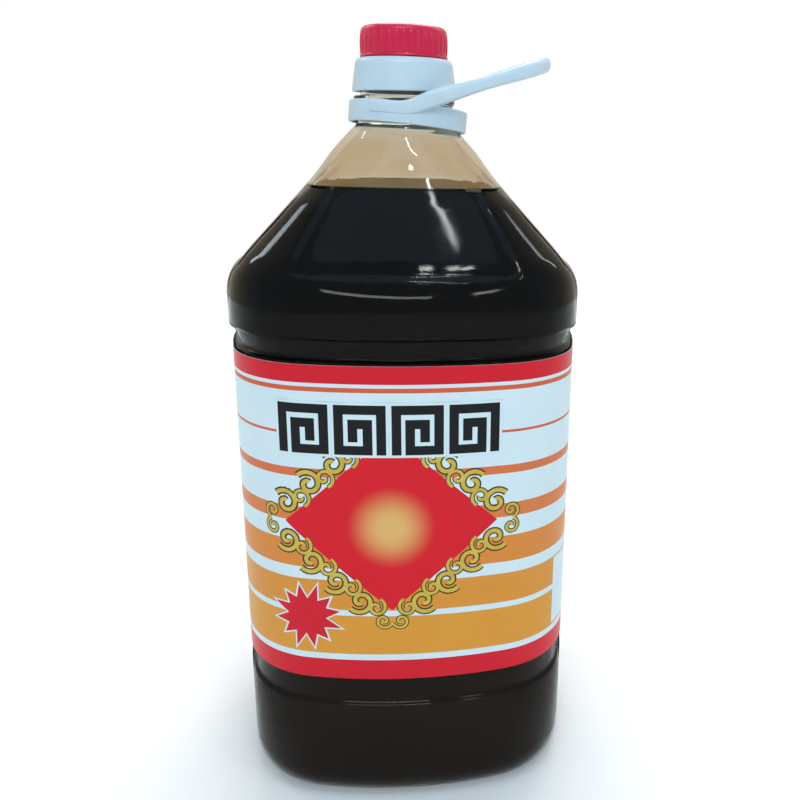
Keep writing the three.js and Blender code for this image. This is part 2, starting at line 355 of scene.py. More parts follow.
# The headspace's warm tint: partly a thin film of sauce on the wall, partly painted warm light from
# behind.
film_and_painted_backlight = add(tree, "ShaderNodeMix", {
    0: runs.outputs["Fac"], 6: linear("#EAE1CF"), 7: linear("#F2ECDF")}, data_type="RGBA")
wall = add(tree, "ShaderNodeMix", {
    0: zone.outputs[0], 6: linear("#F2F5F4"), 7: film_and_painted_backlight.outputs[2]}, data_type="RGBA")
waves = add(tree, "ShaderNodeTexNoise", {
    "Vector": where, "Scale": 1 / (WAVE_MM * MM), "Detail": 1.5})
ripple = add(tree, "ShaderNodeBump", {
    "Height": waves.outputs["Fac"], "Distance": WAVE_RELIEF * MM, "Strength": WAVE_STRENGTH})
gloss = add(tree, "ShaderNodeMapRange", {
    "Value": waves.outputs["Fac"], 1: CLOUD_RANGE[0], 2: CLOUD_RANGE[1], 3: 0.02, 4: 0.05})
tree.links.new(wall.outputs[2], shader.inputs["Base Color"])
tree.links.new(ripple.outputs["Normal"], shader.inputs["Normal"])
tree.links.new(gloss.outputs["Result"], shader.inputs["Roughness"])
shader.inputs["Transmission Weight"].default_value = 1.0
shader.inputs["IOR"].default_value = PET_IOR

WET_PET = PET.copy()
WET_PET.name = "clear_pet_backed_by_sauce"
WET_PET.node_tree.nodes["Principled BSDF"].inputs["IOR"].default_value = WET_PET_IOR
print("finishes:", PET.name, WET_PET.name)

# %% [markdown]
# ## The jug
# One closed shell: up the outside to the mouth, over the lip and down the inside to the floor.
# A ledge under the cap carries the collar, and the carry ring lies loose on the neck below it.

# %% Jug shell
NECK_R, NECK_Z, NECK_WALL = 21.0, 290.0, 1.2
FLANGE_R, FLANGE_Z = 21.8, (298.6, 301.4)
FINISH_R, FINISH_WALL, MOUTH_Z = 18.9, 1.8, 315.5
MOUTH_R = FINISH_R - FINISH_WALL

neck = [  # radius and height, with small steps that break the edges
    (NECK_R + 0.5, NECK_Z - 1.0), (NECK_R, NECK_Z), (NECK_R, FLANGE_Z[0] - 0.9),
    (FLANGE_R - 0.3, FLANGE_Z[0] - 0.2), (FLANGE_R, FLANGE_Z[0] + 0.2),
    (FLANGE_R, FLANGE_Z[1] - 0.4), (FLANGE_R - 0.4, FLANGE_Z[1]),
    (FINISH_R, FLANGE_Z[1] + 0.3), (FINISH_R, MOUTH_Z - 0.3), (FINISH_R - 0.3, MOUTH_Z),
    (MOUTH_R + 0.3, MOUTH_Z), (MOUTH_R, MOUTH_Z - 0.3), (MOUTH_R, FLANGE_Z[0]),
    (NECK_R - NECK_WALL, FLANGE_Z[0] - 3), (NECK_R - NECK_WALL, NECK_Z),
]
outside = [jug_ring(h, z) for h, z in list(map(tuple, profile)) + neck]
inside = [jug_ring(h, z, at) for h, z, at in reversed(inset_rows(WALL))]
jug = skin("jug_wall", outside + inside, [PET, WET_PET])
for face in jug.data.polygons:
    face.material_index = 1 if face.center.z < LEVEL_Z * MM else 0
dress(jug, "bottle")

# %% [markdown]
# ## The sauce
# Soy sauce is brown-black in bulk and golden where it is thin, as on its surface near the wall.
# It reaches a little way into the wall, which leaves no air between, and it carries the gloss of
# the wall in front of it. In the photograph a trace of the room's light lies on it, warm near the
# foot and cool at the shoulder. This plain studio does not bring that out, so a faint glow whose
# colour goes by height stands in for it. The top is duller, a skin of fine froth, and its gold is
# painted light: light from behind shining through the thin sauce.

# %% Sauce finishes
GLOW_Z = (200, 50)  # cool from here up, warm from here down, in mm

SAUCE = plastic("brewed_sauce_in_bulk", "#0A0604", "#0E0805", 6.0, 0.055, 0.002, IOR=1.22,
                Emission_Strength=0.006)
tree, shader, where = open_finish(SAUCE)
height = add(tree, "ShaderNodeSeparateXYZ", {0: where}).outputs["Z"]
low = add(tree, "ShaderNodeMapRange", {"Value": height, 1: GLOW_Z[0] * MM, 2: GLOW_Z[1] * MM})
warm = add(tree, "ShaderNodeMix", {
    0: low.outputs[0], 6: linear("#1C2830"), 7: linear("#FFD2AC")}, data_type="RGBA")
tree.links.new(warm.outputs[2], shader.inputs["Emission Color"])
# The top's golden colour is painted light from behind shining through the thin sauce, laid on a
# duller skin of froth.
BACKLIT_FROTH = plastic("golden_sauce_surface", "#8A6A1E", "#9C7C2A", 2.0, 0.5, 0.02, IOR=1.06)
print("finishes:", SAUCE.name, BACKLIT_FROTH.name)

# %% Sauce body
SAUCE_REACH = 0.15  # how far the sauce goes into the wall
LAST_ROW, TOP_SKIN_DEPTH = 0.6, 0.58  # below the level
SURFACE = ((0.985, 0.35), (0.96, 0.5), (0.6, 0.55))  # share of the edge, drop in mm

rows = [r for r in inset_rows(WALL - SAUCE_REACH) if r[1] < LEVEL_Z - LAST_ROW]
rings = [jug_ring(h, z, at) for h, z, at in rows]
edge_half = rows[-1][0] - (LEVEL_Z - rows[-1][1]) * math.tan(SLOPE)
edge = jug_ring(edge_half, LEVEL_Z)
rings.append(edge)
for share, drop in SURFACE:
    flat = edge * (share, share, 1)
    flat[:, 2] = LEVEL_Z - drop
    rings.append(flat)
sauce = skin("soy_sauce_body", rings, [SAUCE, BACKLIT_FROTH])
for face in sauce.data.polygons:
    if face.center.z > (LEVEL_Z - TOP_SKIN_DEPTH) * MM and face.normal.z > 0.5:
        face.material_index = 1
dress(sauce, "soy_sauce")

# %% [markdown]
# ## Bubbles at the surface
# Where the surface meets the wall, a line of tiny bubbles clings to the plastic. They repeat
# along a path with chance sizes and gaps, which is what Geometry Nodes are for: points along the
# path, a small ball on each, and a fixed seed so that every run gives the same line.

# %% Node tree helpers
def new_tree(name, inputs):
    tree = bpy.data.node_groups.new(name, "GeometryNodeTree")
    tree.interface.new_socket("Geometry", in_out="INPUT", socket_type="NodeSocketGeometry")
    for label, kind in inputs:
        tree.interface.new_socket(label, in_out="INPUT", socket_type="NodeSocket" + kind)
    tree.interface.new_socket("Geometry", in_out="OUTPUT", socket_type="NodeSocketGeometry")
    return tree, add(tree, "NodeGroupInput").outputs


def close_tree(tree, instances, material):
    solid = add(tree, "GeometryNodeRealizeInstances", {0: instances}).outputs[0]
    dressed = add(tree, "GeometryNodeSetMaterial", {0: solid, "Material": material}).outputs[0]
    add(tree, "NodeGroupOutput", {0: dressed})
    print("tree", tree.name, "nodes:", len(tree.nodes))


def grow(tree, mesh, values):
    """Runs a tree on a mesh, and gives the result as a plain mesh."""
    host = stand(tree.name + "_host", mesh)
    modifier = host.modifiers.new("grow", "NODES")
    modifier.node_group = tree
    for item in tree.interface.items_tree:
        if item.in_out == "INPUT" and item.name in values:
            modifier[item.identifier] = values[item.name]
    graph = bpy.context.evaluated_depsgraph_get()
    result = bpy.data.meshes.new_from_object(host.evaluated_get(graph), depsgraph=graph)
    bpy.data.objects.remove(host)
    return result


# %% Bubble tree
STRAY = ((-0.0006, -0.0006, -0.0004), (0.0006, 0.0006, 0.0003))  # in metres

bubble_tree, given = new_tree("bubble_line", [
    ("Gap", "Float"), ("Smallest", "Float"), ("Largest", "Float"), ("Seed", "Int"),
    ("Material", "Material"),
])
path = add(bubble_tree, "GeometryNodeMeshToCurve", {0: given["Geometry"]}).outputs[0]
places = add(bubble_tree, "GeometryNodeCurveToPoints", {0: path, "Length": given["Gap"]},
             mode="LENGTH").outputs[0]
stray = add(bubble_tree, "FunctionNodeRandomValue", {
    0: STRAY[0], 1: STRAY[1], "Seed": given["Seed"]}, data_type="FLOAT_VECTOR").outputs[0]
moved = add(bubble_tree, "GeometryNodeSetPosition", {0: places, "Offset": stray}).outputs[0]
ball = add(bubble_tree, "GeometryNodeMeshIcoSphere", {"Radius": 1.0, "Subdivisions": 2}).outputs[0]
size = add(bubble_tree, "FunctionNodeRandomValue", {
    2: given["Smallest"], 3: given["Largest"], "Seed": given["Seed"]},
    data_type="FLOAT").outputs[1]
balls = add(bubble_tree, "GeometryNodeInstanceOnPoints", {
    0: moved, "Instance": ball, "Scale": size}).outputs[0]
close_tree(bubble_tree, balls, given["Material"])

# %% Bubble line
BUBBLE_SHARE, BUBBLE_DROP = 0.968, 0.2  # of the surface's edge, and below the level

ring_points = edge * (BUBBLE_SHARE, BUBBLE_SHARE, 1) * MM
ring_points[:, 2] = (LEVEL_Z - BUBBLE_DROP) * MM
count = len(edge)
loop_mesh = bpy.data.meshes.new("bubble_path")
loop_mesh.from_pydata(ring_points.tolist(), [(i, (i + 1) % count) for i in range(count)], [])
# A bubble's thin skin of sauce: paler than the sauce and glossy.
BUBBLE = plastic("sauce_bubble_skin", "#8C713A", "#B89C62", 0.8, 0.15, 0.01, IOR=1.33)
bubble_mesh = grow(bubble_tree, loop_mesh, {
    "Gap": 1.9 * MM, "Smallest": 0.15 * MM, "Largest": 0.5 * MM, "Seed": 4, "Material": BUBBLE})
smooth(bubble_mesh)
dress(stand("surface_bubbles", bubble_mesh), "soy_sauce")

# %% [markdown]
# ## Label film and its bands
# The label is a film wrapped right round the jug. Its red and orange bands run at fixed heights,
# so each band is a row of faces with its own ink, and every edge stays crisp at any distance.
# The orange grows broader and yellower towards the foot.

# %% Inks
# Ink on a satin film: full, even colour with only a weak, soft mirror of the lamps.
INK_IOR = 1.28
SHADES = (("#D26C40", "#D87546"), ("#D4763E", "#DA7F45"), ("#D68136", "#DB893D"),
          ("#D68B34", "#DB933B"), ("#D79033", "#DC983A"))


def ink(name, dark, light, grain_mm=3.0, rough=0.36, relief_mm=0.01):
    return plastic("label_" + name, dark, light, grain_mm, rough, relief_mm, IOR=INK_IOR)


FILM = ink("film_bare_white", "#CBDDE2", "#D6E5E8")
RED_INK = ink("ink_red", "#CC1526", "#D61C2D", rough=0.34)
LINE_INK = ink("ink_brick", "#CF5836", "#D6633F")
ORANGES = [ink("ink_orange_" + str(i), *pair) for i, pair in enumerate(SHADES)]
label_finishes = [FILM, RED_INK, LINE_INK] + ORANGES
print("label finishes:", len(label_finishes))

# %% Label
LABEL_Z = (61.4, 199.6)
LABEL_OUT, LABEL_IN = LABEL_HALF + 0.34, LABEL_HALF - 0.05
bands = [  # lower edge of each band in mm, and the finish that runs up from it
    (61.4, RED_INK), (70.6, FILM), (73.4, ORANGES[4]), (91.6, FILM), (94.2, ORANGES[3]),
    (107.8, FILM), (113.2, ORANGES[2]), (125.2, FILM), (133.8, ORANGES[1]), (140.0, FILM),
    (153.2, ORANGES[0]), (156.8, FILM), (170.9, LINE_INK), (172.0, FILM), (188.9, LINE_INK),
    (190.8, FILM), (192.3, RED_INK),
]


def label_ring(half, z):
    plan = section(half)
    return np.column_stack([plan, np.full(len(plan), z)])


label_rings = [label_ring(LABEL_OUT, z) for z in [z for z, _ in bands] + [LABEL_Z[1]]]
label_rings += [label_ring(LABEL_IN, z) for z in reversed(LABEL_Z)]
label = skin("label_film", label_rings, label_finishes, shut=False)
per_ring = len(label_rings[0])
for face in label.data.polygons:
    row = face.index // per_ring
    face.material_index = label_finishes.index(bands[row][1]) if row < len(bands) else 0
dress(label, "label")

# %% [markdown]
# ## Printing on a curved face
# The front of the label carries a red diamond in a gold scroll frame, a starburst and a row of
# black fret squares. Each is drawn flat, in millimetres across and up, and then laid on the film:
# the distance across becomes a distance along the curved face, so nothing is stretched.

# %% Wrap helper
outline = section(LABEL_OUT, fine=12)
front = int(np.argmin(outline[:, 1] + np.abs(outline[:, 0]) * 0.5))
outline = np.roll(outline, -front, axis=0)
outline = np.vstack([outline, outline[:1]])
lengths = np.concatenate([[0], np.cumsum(np.linalg.norm(np.diff(outline, axis=0), axis=1))])
across = np.gradient(outline, axis=0)
across /= np.linalg.norm(across, axis=1)[:, None]
print("label is", round(lengths[-1], 1), "mm round")


def on_label(flat):
    """Points across, up and off the film become places in space."""
    run = np.mod(flat[:, 0], lengths[-1])
    place = [np.interp(run, lengths, outline[:, k]) for k in (0, 1)]
    normal = [np.interp(run, lengths, across[:, 1]), -np.interp(run, lengths, across[:, 0])]
    lift = flat[:, 2]
    return np.column_stack([place[0] + normal[0] * lift, place[1] + normal[1] * lift, flat[:, 1]])


# %% Print helpers
INK_FOOT = -0.05  # ink goes this far into the film, so that no gap shows under it
DOUBLES, INK_SHARP = 0.002 * MM, 35


def print_piece(name, points, faces, finish):
    mesh = bpy.data.meshes.new(name)
    mesh.from_pydata((on_label(np.asarray(points, float)) * MM).tolist(), [], faces)
    mesh.materials.append(finish)
    shape = bmesh.new()
    shape.from_mesh(mesh)
    bmesh.ops.remove_doubles(shape, verts=shape.verts, dist=DOUBLES)
    bmesh.ops.recalc_face_normals(shape, faces=shape.faces)
    shape.to_mesh(mesh)
    shape.free()
    smooth(mesh, INK_SHARP)
    dress(stand(name, mesh), "label")


def face_and_foot(flat, lift):
    return np.vstack([np.column_stack([flat, np.full(len(flat), h)]) for h in (lift, INK_FOOT)])


def slab(grid, lift):
    """A closed layer of ink over a grid of flat points: its face, its underside and its edge."""
    rows, columns, _ = grid.shape
    n = rows * columns
    faces = []
    for r in range(rows - 1):
        for c in range(columns - 1):
            a, e = r * columns + c, (r + 1) * columns + c
            b, d = a + 1, e + 1
            faces += [(a, b, d, e), (n + e, n + d, n + b, n + a)]
    rim = list(range(columns)) + [r * columns + columns - 1 for r in range(1, rows)]
    rim += [(rows - 1) * columns + c for c in range(columns - 2, -1, -1)]
    rim += [r * columns for r in range(rows - 2, 0, -1)]
    for i, a in enumerate(rim):
        b = rim[(i + 1) % len(rim)]
        faces.append((b, a, n + a, n + b))
    return face_and_foot(grid.reshape(-1, 2), lift), faces


# %% [markdown]
# ## The red diamond
# A plain red diamond with a soft golden glow in its middle. The glow is a smooth change from ink
# to ink, so it is worked out in the finish from the distance to the diamond's centre.

# %% Red diamond
ART = (-6.8, 133.2)
DIAMOND, DIAMOND_ROWS, DIAMOND_LIFT = (44.0, 38.8), 33, 0.05
GLOW_DROP, GLOW_MM = 1.5, (3, 19)

GLOW_RED = ink("ink_red_with_gold_glow", "#D01322", "#DA1A2A", rough=0.34)
tree, shader, where = open_finish(GLOW_RED)
red = shader.inputs["Base Color"].links[0].from_socket
centre = on_label(np.array([[ART[0], ART[1] - GLOW_DROP, 0.0]]))[0] * MM
reach = add(tree, "ShaderNodeVectorMath", {0: where, 1: tuple(centre)}, operation="DISTANCE")
share = add(tree, "ShaderNodeMapRange", {
    "Value": reach.outputs["Value"], 1: GLOW_MM[0] * MM, 2: GLOW_MM[1] * MM, 3: 1.0, 4: 0.0},
    interpolation_type="SMOOTHSTEP")
glow = add(tree, "ShaderNodeMix", {0: share.outputs[0], 6: red, 7: linear("#DDAE68")},
           data_type="RGBA")
tree.links.new(glow.outputs[2], shader.inputs["Base Color"])

steps = np.linspace(-1, 1, DIAMOND_ROWS)
p, q = np.meshgrid(steps, steps)
grid = np.stack([ART[0] + DIAMOND[0] * (p - q) / 2, ART[1] + DIAMOND[1] * (p + q) / 2], axis=-1)
print_piece("label_diamond", *slab(grid, DIAMOND_LIFT), GLOW_RED)

# %% [markdown]
# ## Gold scroll frame
# Scrollwork is an old printers' ornament: curls that follow each other along an edge. Here one
# curl repeats round the diamond in two sizes, with a pair at each tip, by Geometry Nodes. The
# points carry the turn and size of each, and the tree is grown twice, first a little wider in
# dark ink for the outline and then in gold.

# %% Scroll tree
EYELET = 0.16  # where a curl's line starts, as a share of its size

scroll_tree, given = new_tree("scroll_frame", [
    ("Turns", "Float"), ("Curl", "Float"), ("Line", "Float"), ("Material", "Material"),
])
curl = add(scroll_tree, "GeometryNodeCurveSpiral", {
    "Resolution": 22, "Rotations": given["Turns"], "Height": 0.0,
    "Start Radius": EYELET, "End Radius": given["Curl"]}).outputs[0]
pen = add(scroll_tree, "GeometryNodeCurvePrimitiveCircle", {
    "Resolution": 6, "Radius": given["Line"]}).outputs[0]
drawn = add(scroll_tree, "GeometryNodeCurveToMesh", {
    0: curl, "Profile Curve": pen, "Fill Caps": True}).outputs[0]
facing, sized = (add(scroll_tree, "GeometryNodeInputNamedAttribute", {"Name": name},
                     data_type="FLOAT_VECTOR").outputs[0] for name in ("turn", "size"))
curls = add(scroll_tree, "GeometryNodeInstanceOnPoints", {
    0: given["Geometry"], "Instance": drawn, "Rotation": facing, "Scale": sized}).outputs[0]
close_tree(scroll_tree, curls, given["Material"])

# %% Scroll places
CURLS = ((5.6, -0.5, 1, 5.6), (3.4, 0.6, -1, 4.2))  # by turns: off the edge, twist, flip, size
CURLS_A_SIDE = np.linspace(0.1, 0.9, 8)
TIP_OUT, TIP_CURL = (6, 5), 3.6

spots = []  # across, up, turn, mirrored across, mirrored up, flip, size
side, lean = math.hypot(*DIAMOND), math.atan2(DIAMOND[1], -DIAMOND[0])
for sx in (1, -1):
    for sy in (1, -1):
        for i, t in enumerate(CURLS_A_SIDE):
            out, twist, flip, size = CURLS[i % 2]
            x = DIAMOND[0] * (1 - t) + out * DIAMOND[1] / side
            y = DIAMOND[1] * t + out * DIAMOND[0] / side
            spots.append((sx * x, sy * y, lean + twist, sx, sy, flip, size))
tip_x, tip_y = DIAMOND[0] + TIP_OUT[0], DIAMOND[1] + TIP_OUT[1]
for x, y, turn in ((tip_x, 0, 0), (-tip_x, 0, math.pi),
                   (0, tip_y, math.pi / 2), (0, -tip_y, -math.pi / 2)):
    for flip in (1, -1):
        dx, dy = -flip * TIP_CURL * math.sin(turn), flip * TIP_CURL * math.cos(turn)
        spots.append((x + dx, y + dy, turn, 1, 1, flip, TIP_CURL))

host = bpy.data.meshes.new("scroll_spots")
host.from_pydata([(x, y, 0) for x, y, *_ in spots], [], [])
turns = host.attributes.new("turn", "FLOAT_VECTOR", "POINT")
sizes = host.attributes.new("size", "FLOAT_VECTOR", "POINT")
for i, (x, y, turn, sx, sy, flip, size) in enumerate(spots):
    angle = math.atan2(sy * math.sin(turn), sx * math.cos(turn))
    turns.data[i].vector = (0, 0, angle)
    sizes.data[i].vector = (size, size * flip * sx * sy, 1.0)
print("curls:", len(spots))

# %% Scroll frame
GOLD_INK = ink("ink_gold", "#B4922F", "#DCC25A", grain_mm=0.6, rough=0.32, relief_mm=0.02)
DARK_INK = ink("ink_dark_outline", "#3A3016", "#4A3D1C", grain_mm=1.5, rough=0.38)
CURL_TURNS, SCROLL_FOOT = 1.2, -0.04


def lay_scrolls(name, width, lift, finish):
    grown = grow(scroll_tree, host.copy(), {
        "Turns": CURL_TURNS, "Curl": 1.0, "Line": width, "Material": finish})
    flat = np.array([v.co for v in grown.vertices], float)
    rise = flat[:, 2] / max(1e-9, np.abs(flat[:, 2]).max())
    flat[:, 2] = SCROLL_FOOT + (lift - SCROLL_FOOT) * np.clip(rise, 0, 1)
    flat[:, :2] += ART
    print_piece(name, flat, [tuple(f.vertices) for f in grown.polygons], finish)


lay_scrolls("label_scroll_outline", 0.33, 0.07, DARK_INK)
lay_scrolls("label_scroll_gold", 0.24, 0.11, GOLD_INK)

# %% [markdown]
# ## Starburst and panel
# A red starburst with a white edge sits low on the left, and a bare white panel stands on the
# right. A star of one flat face would cut through the curved film, so it is built in rings from
# its middle out, and each straight edge is split.

# %% Starburst and panel
STAR, STAR_TIPS, STAR_RINGS = (-43.0, 90.5), 12, 8
STAR_NOTCH, STAR_UNEVEN, STAR_TURN = 0.6, 0.07, 0.2
EDGE_SPLIT = (0, 0.2, 0.4, 0.6, 0.8)
PANEL_X, PANEL_UP = (69.5, 100), (74.5, 107)


def star(radius, lift):
    tips = []
    for i in range(STAR_TIPS * 2):
        r = radius * (1.0 if i % 2 == 0 else STAR_NOTCH) * (1 + STAR_UNEVEN * math.sin(i * 2.1))
        t = math.pi * i / STAR_TIPS + STAR_TURN
        tips.append((r * math.cos(t), r * math.sin(t)))
    tips = np.array(tips)
    rim = np.vstack([mix(tip, after, s) for tip, after in zip(tips, np.roll(tips, -1, axis=0))
                     for s in EDGE_SPLIT])
    count, levels = len(rim), np.linspace(1 / STAR_RINGS, 1, STAR_RINGS)
    flat = np.vstack([[(0, 0)]] + [rim * s for s in levels]) + STAR
    n, outer = len(flat), 1 + (STAR_RINGS - 1) * count
    faces = []
    for i in range(count):
        j = (i + 1) % count
        faces += [(0, 1 + i, 1 + j), (n, n + 1 + j, n + 1 + i)]
        for k in range(STAR_RINGS - 1):
            low, high = 1 + k * count, 1 + (k + 1) * count
            quad = (low + i, high + i, high + j, low + j)
            faces += [quad, tuple(n + v for v in reversed(quad))]
        faces.append((outer + j, outer + i, n + outer + i, n + outer + j))
    return face_and_foot(flat, lift), faces


print_piece("label_star_edge", *star(16.4, 0.05), FILM)
print_piece("label_star", *star(14.6, 0.08), RED_INK)
p, q = np.meshgrid(np.linspace(*PANEL_X, 14), np.linspace(*PANEL_UP, 12))
print_piece("label_panel", *slab(np.stack([p, q], axis=-1), 0.05), FILM)

# %% [markdown]
# ## Fret squares
# Four black fret squares stand in a row over the top of the diamond. A fret is one line that
# turns inwards in a square, so it is laid as a ribbon along that path, over a broader white
# ribbon that closes the gaps and lies above the gold.

# %% Fret squares
BLACK_INK = ink("ink_black", "#0E0F10", "#17181A", grain_mm=2.0, rough=0.34)
TILES, TILE, TILE_GAP, STROKE = 4, 20.6, 2.2, 3.8
TILES_MID = (-7.2, 173.6)
RIBBON_STEP, OVERLAP_STEP = 1.1, 0.002
TURNS = ((-1, -1), (-1, 1), (1, 1), (1, -1), (-0.36, -1), (-0.36, 0.3), (0.34, 0.3), (0.34, -0.36))
LAYERS = (("edge", STROKE + 2.14, 0.13, FILM), ("fret", STROKE, 0.165, BLACK_INK))


def fret(x0, y0, flip):
    pitch = TILE / 2 - STROKE / 2
    return [(x0 + flip * pitch * x, y0 + pitch * y) for x, y in TURNS]


def ribbon(path, width):
    cells = []
    for start, end in zip(path[:-1], path[1:]):
        lo = np.minimum(start, end) - width / 2
        hi = np.maximum(start, end) + width / 2
        nx, ny = (int((hi[k] - lo[k]) / RIBBON_STEP) + 2 for k in (0, 1))
        p, q = np.meshgrid(np.linspace(lo[0], hi[0], nx), np.linspace(lo[1], hi[1], ny))
        cells.append(np.stack([p, q], axis=-1))
    return cells


for i in range(TILES):
    x = TILES_MID[0] + (i - (TILES - 1) / 2) * (TILE + TILE_GAP)
    path = fret(x, TILES_MID[1], 1 if i % 2 == 0 else -1)
    for layer, width, lift, finish in LAYERS:
        points, faces = [], []
        for k, cell in enumerate(ribbon(path, width)):
            some, joined = slab(cell, lift + OVERLAP_STEP * k)
            before = sum(len(s) for s in points)
            faces += [tuple(v + before for v in f) for f in joined]
            points.append(some)
        print_piece("label_" + layer + "_" + str(i), np.vstack(points), faces, finish)

# %% [markdown]
# ## Collar
# The cap is two mouldings: a white collar that stays on the neck and a red lid. Both are turned
# shapes, so a profile swept round the axis makes them. A Screw modifier would do that too, but
# the skin helper already knows which way faces point.

# %% Collar
def turned(name, rows, finish, steps=128, shut=False):
    t = np.linspace(0, 2 * math.pi, steps, endpoint=False)
    rings = [np.column_stack([r * np.cos(t), r * np.sin(t), np.full(steps, z)]) for r, z in rows]
    return skin(name, rings, [finish], shut=shut, sharp=50)


COLLAR_Z, COLLAR_R, COLLAR_TOP_R = (303.1, 316.7), (22.4, 21.1), 18.9
COLLAR_BORE, COLLAR_HOLE, COLLAR_DECK, COLLAR_ROUND = 20.0, 15.4, 0.9, 3.2
foot, top = COLLAR_Z
rows = [(COLLAR_BORE, foot), (COLLAR_R[0] - 0.35, foot), (COLLAR_R[0] - 0.1, foot + 0.1),
        (COLLAR_R[0], foot + 0.4), (COLLAR_R[0], foot + 1.0)]
for t in np.linspace(0, math.pi / 2, 13):
    rows.append((mix(COLLAR_TOP_R, COLLAR_R[1], math.cos(t)),
                 top - COLLAR_ROUND * (1 - math.sin(t))))
rows += [(COLLAR_HOLE, top), (COLLAR_HOLE, top - COLLAR_DECK), (COLLAR_BORE, top - COLLAR_DECK)]
dress(turned("cap_collar_moulding", rows, WHITE_PP), "cap_collar")

# %% [markdown]
# ## Lid
# The red lid is a cup with a lip at its foot and a rounded top edge, turned like the collar. Its
# grip ribs repeat round it, so Geometry Nodes set one long bead on each point of a circle,
# turned to face outwards and sunk into the wall, so that only its crown stands proud.

# %% Lid
LID_Z, LID_R, LID_WALL, LID_ROUND, LID_LIP = (317.0, 329.5), 18.8, 1.8, 2.4, 0.42
BODY_R = LID_R - LID_LIP
foot, roof, shoulder = LID_Z[0], LID_Z[1] - LID_WALL, LID_Z[1] - LID_ROUND
rows = [(BODY_R - LID_WALL, roof), (BODY_R - LID_WALL, foot), (LID_R - 0.2, foot),
        (LID_R, foot + 0.2), (LID_R, foot + 0.7), (LID_R - 0.15, foot + 0.9), (BODY_R, foot + 1.1)]
for t in np.linspace(0, math.pi / 2, 10):
    rows.append((BODY_R - LID_ROUND * (1 - math.cos(t)), shoulder + LID_ROUND * math.sin(t)))
dress(turned("cap_lid_moulding", rows, RED_PP, shut=True), "cap_lid")

# %% Lid ribs
RIBS, RIB_SINK, RIB_HALF, RIB_UP = 36, 0.2, (0.6, 1.2, 5.0), 5.4

rib_tree, given = new_tree("lid_ribs", [
    ("Ribs", "Int"), ("Radius", "Float"), ("Size", "Vector"), ("Height", "Vector"),
    ("Material", "Material"),
])
circle = add(rib_tree, "GeometryNodeMeshCircle", {
    "Vertices": given["Ribs"], "Radius": given["Radius"]}).outputs[0]
spot = add(rib_tree, "GeometryNodeInputPosition").outputs[0]
facing = add(rib_tree, "FunctionNodeAlignRotationToVector", {"Vector": spot}, axis="X").outputs[0]
bead = add(rib_tree, "GeometryNodeMeshUVSphere", {
    "Segments": 12, "Rings": 12, "Radius": 1.0}).outputs[0]
ribs = add(rib_tree, "GeometryNodeInstanceOnPoints", {
    0: circle, "Instance": bead, "Rotation": facing, "Scale": given["Size"]}).outputs[0]
lifted = add(rib_tree, "GeometryNodeTransform", {
    0: ribs, "Translation": given["Height"]}).outputs[0]
close_tree(rib_tree, lifted, given["Material"])

rib_mesh = grow(rib_tree, bpy.data.meshes.new("rib_host"), {
    "Ribs": RIBS, "Radius": (BODY_R - RIB_SINK) * MM, "Size": tuple(v * MM for v in RIB_HALF),
    "Height": (0, 0, (LID_Z[0] + RIB_UP) * MM), "Material": RED_PP})
smooth(rib_mesh)
dress(stand("cap_lid_ribs", rib_mesh), "cap_lid")

# %% [markdown]
# ## Carry ring
# Ring and loop are one white moulding. The ring is a flat band with round edges that lies on the
# neck and tips down on the loop's side, so it is turned upright and then leaned in its mesh.

# %% Carry ring
RING_MID, RING_R, RING_HALF_H, RING_EDGE = (1.5, 0.0, 293.0), (24.1, 25.7), 4.4, 0.6
RING_DROP, RING_NOD = math.radians(4.9), math.radians(-3.0)
rows = [(RING_R[0], -RING_HALF_H)]
for t in np.linspace(-math.pi / 2, 0, 6):
    rows.append((RING_R[1] - RING_EDGE * (1 - math.cos(t)),
                 -RING_HALF_H + RING_EDGE * (1 + math.sin(t))))
for t in np.linspace(0, math.pi / 2, 6):
    rows.append((RING_R[1] - RING_EDGE * (1 - math.cos(t)),
                 RING_HALF_H - RING_EDGE * (1 - math.sin(t))))
rows.append((RING_R[0], RING_HALF_H))
ring = turned("carry_ring", rows, WHITE_PP)
lean = Matrix.Rotation(RING_DROP, 4, "Y") @ Matrix.Rotation(RING_NOD, 4, "X")
ring.data.transform(Matrix.Translation(Vector(RING_MID) * MM) @ lean)
dress(ring, "handle")

# %% [markdown]
# ## Loop
# The strap leaves the ring's band on both sides, rises and closes in a U. A curve with a bevel
# has one section all along, and this one changes, so a rounded bar is swept in code: thin where
# it grows out of the band, deeper at the root of the arms and at the bend.

# %% Loop line
LOOP_Z, LOOP_RISE, LOOP_NOD = 297.8, math.radians(16.8), math.radians(2.5)
LOOP_HALF_W, LOOP_ROOT_X, LOOP_BEND_X, LOOP_REACH = 25.6, -14.0, 37.0, 24.5
SPREAD_X, LEAVE_X, ROOT_UP = (0, 12), (-9, 13), 2.0

band = sum(RING_R) / 2
plan = []
for x in np.linspace(LOOP_ROOT_X, LOOP_BEND_X, 40, endpoint=False):
    y = math.sqrt(band ** 2 - x * x) if x < 0 else mix(band, LOOP_HALF_W, ramp(x, *SPREAD_X))
    plan.append((x, -y))
mirror = [(x, -y) for x, y in reversed(plan)]
for t in np.linspace(-math.pi / 2, math.pi / 2, 41):
    plan.append((LOOP_BEND_X + LOOP_REACH * math.cos(t), LOOP_HALF_W * math.sin(t)))
line = []
for x, y in plan + mirror:
    on_ring = RING_MID[2] + ROOT_UP - math.tan(RING_DROP) * x + math.tan(RING_NOD) * y
    on_loop = LOOP_Z + math.tan(LOOP_RISE) * x + math.tan(LOOP_NOD) * y
    line.append((x, y, mix(on_ring, on_loop, ramp(x, *LEAVE_X))))
line = np.array(line)
print("points along the strap:", len(line))

